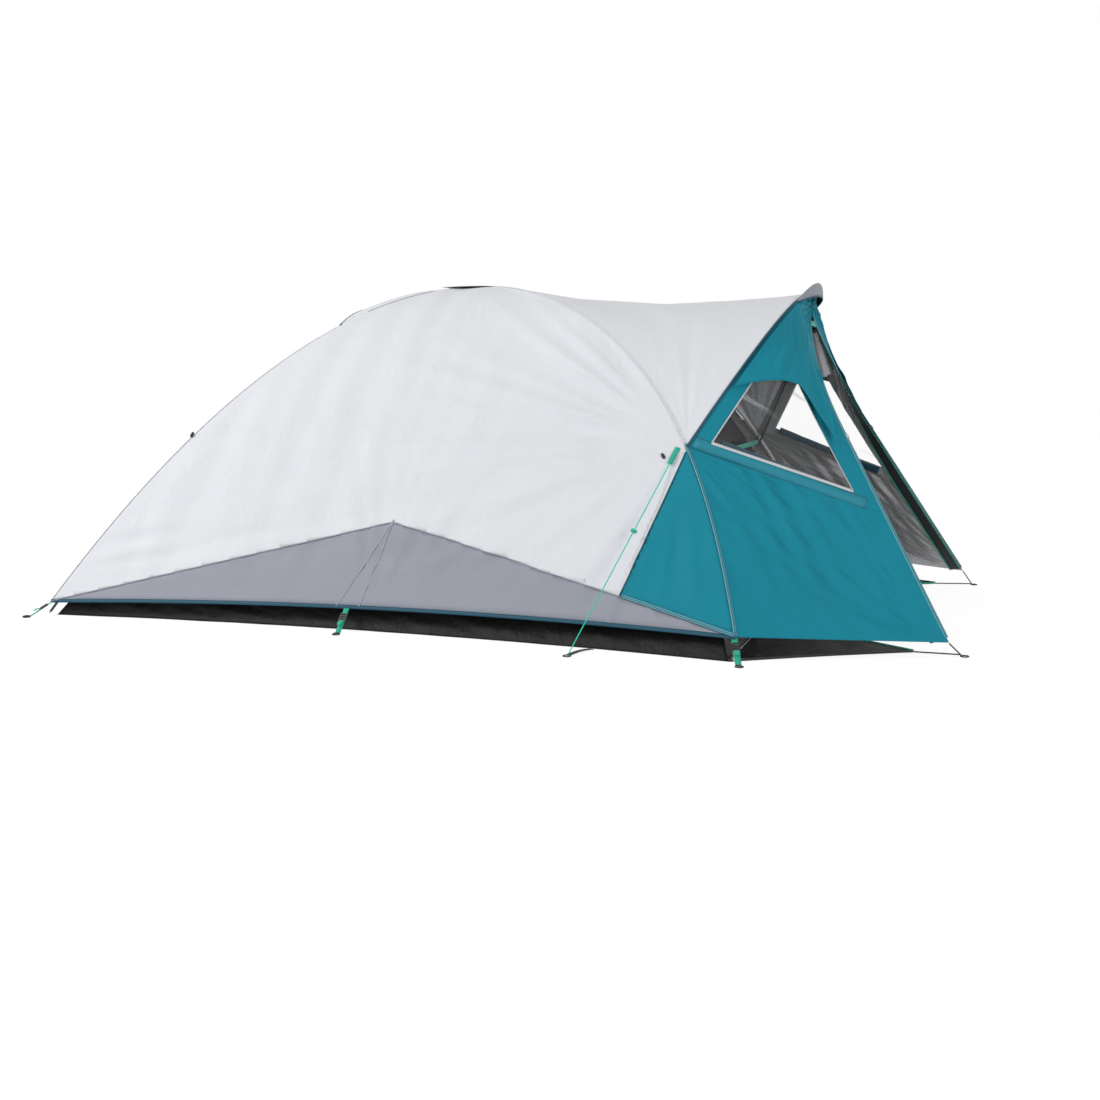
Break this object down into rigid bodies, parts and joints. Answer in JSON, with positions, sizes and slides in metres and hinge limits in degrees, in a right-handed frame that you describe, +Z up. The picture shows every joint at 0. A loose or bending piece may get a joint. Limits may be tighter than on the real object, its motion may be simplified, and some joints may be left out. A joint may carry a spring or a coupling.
{
  "type": "frame tent",
  "caption": "Pitched dome tent on crossed poles with an arched front porch, clear side windows, an inner tent, a tub floor, straps and a guy line.",
  "frame": {"origin": "on the ground, at the middle of the dome's floor", "axes": "+X to the door, +Y to the far side, +Z up"},
  "size_m": [3.3207, 2.358, 1.2461],
  "materials": {
    "pole": "dark glass-fibre rod with a smooth resin face",
    "sleeve": "drawn metal sleeve",
    "fittings": "moulded nylon",
    "white_cloth": "coated white polyester",
    "grey_cloth": "coated grey polyester",
    "blue_cloth": "coated blue polyester",
    "dark_blue_cloth": "dark blue binding",
    "black_cloth": "black woven band",
    "clear_film": "clear flexible film",
    "dark_mesh": "fine dark mesh and cloth",
    "floor_cloth": "black coated floor cloth",
    "teal_webbing": "woven teal webbing and line",
    "black_cord": "black cord and webbing"
  },
  "bodies": {
    "tent": {"dome_pole_a": "pole", "dome_pole_b": "pole", "arch_pole": "pole", "pole_sleeves": "sleeve", "arch_hubs": "fittings", "pole_tips": "sleeve", "fly_side_near": "white_cloth", "fly_side_far": "white_cloth", "fly_skirt_near": "grey_cloth", "fly_skirt_far": "grey_cloth", "fly_corner_near": "blue_cloth", "fly_corner_far": "blue_cloth", "fly_rear": "white_cloth", "fly_skirt_rear": "grey_cloth", "rear_vent_mesh": "dark_mesh", "rear_vent_hood": "white_cloth", "fly_roof_near": "white_cloth", "fly_roof_far": "white_cloth", "vestibule_top_near": "blue_cloth", "vestibule_top_far": "blue_cloth", "window_near": "clear_film", "window_far": "clear_film", "vestibule_wall_near": "blue_cloth", "vestibule_wall_far": "blue_cloth", "window_hood_near": "blue_cloth", "window_hood_far": "blue_cloth", "front_hood": "grey_cloth", "door_zip_near": "black_cloth", "door_zip_far": "black_cloth", "door_roll": "black_cloth", "curtain_rolls": "dark_blue_cloth", "cross_straps": "teal_webbing", "hem_binding": "dark_blue_cloth", "floor_sheet": "floor_cloth", "floor_wall_near": "floor_cloth", "floor_wall_front": "floor_cloth", "floor_wall_far": "floor_cloth", "floor_wall_rear": "floor_cloth", "floor_wing_near": "floor_cloth", "floor_wing_far": "floor_cloth", "inner_side_near": "dark_mesh", "inner_side_far": "dark_mesh", "inner_rear": "dark_mesh", "inner_front_near": "dark_mesh", "inner_front_far": "dark_mesh", "inner_front_top": "dark_mesh", "inner_front_edges": "dark_mesh", "pole_clips": "fittings", "ladder_locks": "fittings", "corner_straps": "teal_webbing", "guy_line_near": "teal_webbing", "cord_corner_near": "black_cord", "cord_wing_near": "black_cord", "cord_corner_far": "black_cord", "cord_wing_far": "black_cord", "peg_loops": "black_cord"},
    "guy_slider": {"guy_slider": "fittings"},
    "zip_slider_near": {"zip_slider_near": "fittings"},
    "zip_slider_far": {"zip_slider_far": "fittings"},
    "inner_door": {"inner_door": "dark_mesh"}
  },
  "joints": [
    {"name": "guy_slider_slide", "type": "slide", "parent": "tent", "child": "guy_slider", "axis": [-0.2879, -0.5694, -0.77], "range_m": [-0.236, 0.421]},
    {"name": "zip_near_slide", "type": "slide", "parent": "tent", "child": "zip_slider_near", "axis": [0.4596, -0.4466, -0.7676], "range_m": [0, 0.7]},
    {"name": "zip_far_slide", "type": "slide", "parent": "tent", "child": "zip_slider_far", "axis": [0.4596, 0.4466, -0.7676], "range_m": [0, 0.7]},
    {"name": "inner_door_hinge", "type": "hinge", "parent": "tent", "child": "inner_door", "pos_m": [1.2187, 0, 0.1068], "axis": [0, 1, 0], "range_deg": [0, 111.7]}
  ]
}
